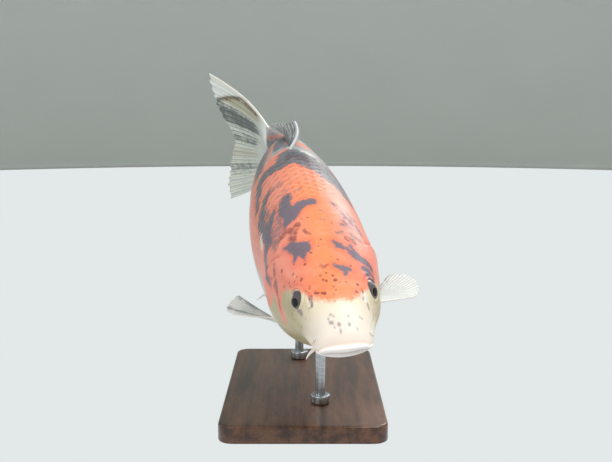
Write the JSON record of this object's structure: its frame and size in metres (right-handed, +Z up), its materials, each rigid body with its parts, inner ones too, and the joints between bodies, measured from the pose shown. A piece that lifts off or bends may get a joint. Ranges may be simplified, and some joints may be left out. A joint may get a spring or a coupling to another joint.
{
  "type": "koi carp on a display stand",
  "caption": "Life-size koi carp with its tail swung to one side and its fins spread, held over a flat base by two short rods.",
  "frame": {"origin": "middle of the stand's underside, on the floor", "axes": "+Z up; -Y the way the fish faces, +Y towards its tail; +X the fish's left"},
  "size_m": [0.2017, 0.5163, 0.2896],
  "materials": {
    "skin_orange": "wet scaled skin, orange-red with black marks",
    "skin_cream": "wet bare skin, cream",
    "skin_white": "wet bare skin, white",
    "skin_grey": "wet scaled skin, grey",
    "eye": "clear, domed",
    "fin": "thin ribbed membrane",
    "stand_wood": "satin varnish",
    "stand_steel": "brushed"
  },
  "bodies": {
    "root": {"head": "skin_cream", "upper_lip": "skin_white", "lower_lip": "skin_white", "gill_cover_left": "skin_cream", "gill_cover_right": "skin_cream", "eye_left": "eye", "eye_right": "eye", "barbel_corner_left": "skin_white", "barbel_corner_right": "skin_white", "barbel_lip_left": "skin_white", "barbel_lip_right": "skin_white", "trunk_front": "skin_orange", "trunk_rear": "skin_orange", "tail_stem": "skin_grey", "tail_fin_upper": "fin", "tail_fin_lower": "fin", "dorsal_fin": "fin", "anal_fin": "fin", "pectoral_fin_left": "fin", "pectoral_fin_right": "fin", "pelvic_fin_left": "fin", "pelvic_fin_right": "fin", "stand_base": "stand_wood", "stand_rod_front": "stand_steel", "stand_rod_rear": "stand_steel", "stand_collar_front": "stand_steel", "stand_collar_rear": "stand_steel"}
  },
  "joints": []
}
